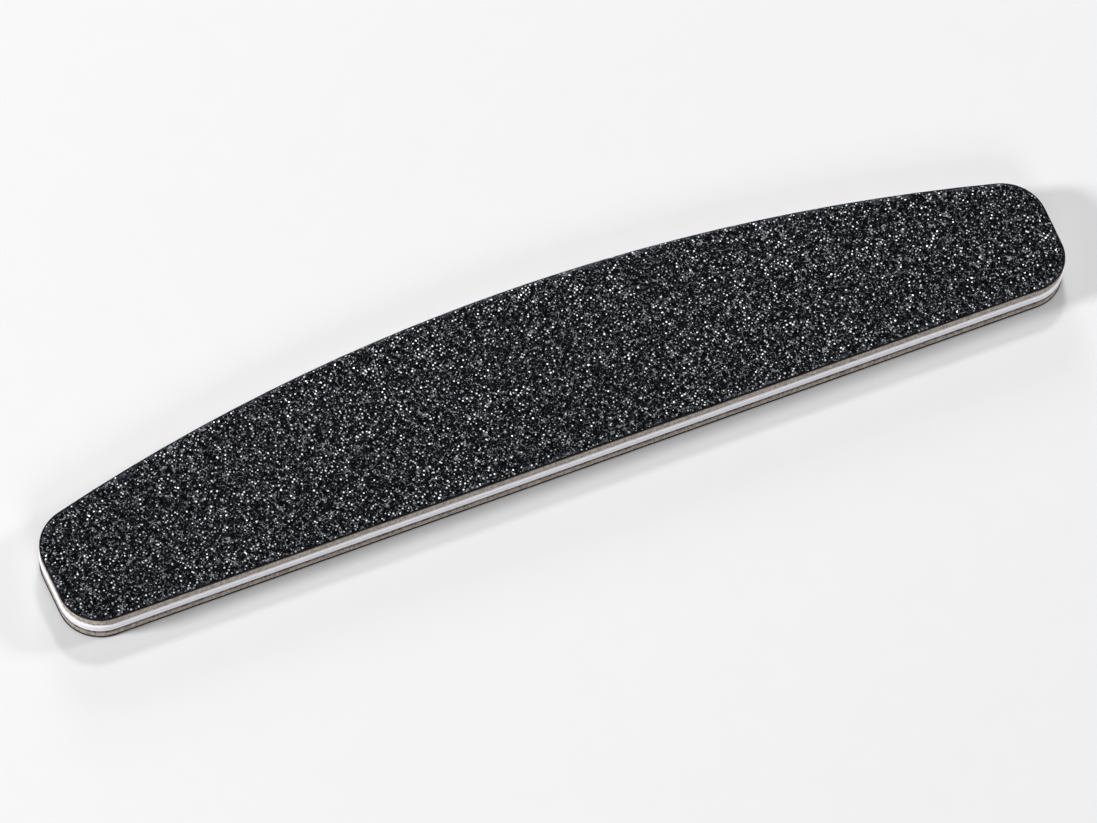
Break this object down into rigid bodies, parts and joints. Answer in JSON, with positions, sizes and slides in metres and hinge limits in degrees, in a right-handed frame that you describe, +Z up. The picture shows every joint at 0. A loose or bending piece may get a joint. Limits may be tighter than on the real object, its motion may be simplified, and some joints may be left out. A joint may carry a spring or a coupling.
{
  "type": "emery board",
  "caption": "Half-moon emery board with one straight and one arched edge: a stiff white core between two foam plies, faced on both sides with black abrasive.",
  "frame": {"origin": "centre of the footprint, on the plane of the lower abrasive face", "axes": "+X along the straight edge, +Y from the straight edge to the arched edge, +Z up through the plies, from the lower face to the upper face"},
  "size_m": [0.178, 0.0324, 0.0064],
  "materials": {
    "white_core": "satin white polystyrene sheet with a sheared edge",
    "clear_adhesive": "thin film of dull transfer adhesive",
    "taupe_foam": "matte closed-cell foam with a die-cut edge",
    "backing_paper": "matte black waterproof paper with a sheared edge",
    "black_resin": "glossy black resin",
    "black_grit": "glossy black silicon carbide grains"
  },
  "bodies": {
    "root": {"core_board": "white_core", "upper_core_film": "clear_adhesive", "upper_foam_ply": "taupe_foam", "upper_face_film": "clear_adhesive", "upper_backing_paper": "backing_paper", "upper_bond_coat": "black_resin", "upper_grit": "black_grit", "lower_core_film": "clear_adhesive", "lower_foam_ply": "taupe_foam", "lower_face_film": "clear_adhesive", "lower_backing_paper": "backing_paper", "lower_bond_coat": "black_resin", "lower_grit": "black_grit"}
  },
  "joints": []
}
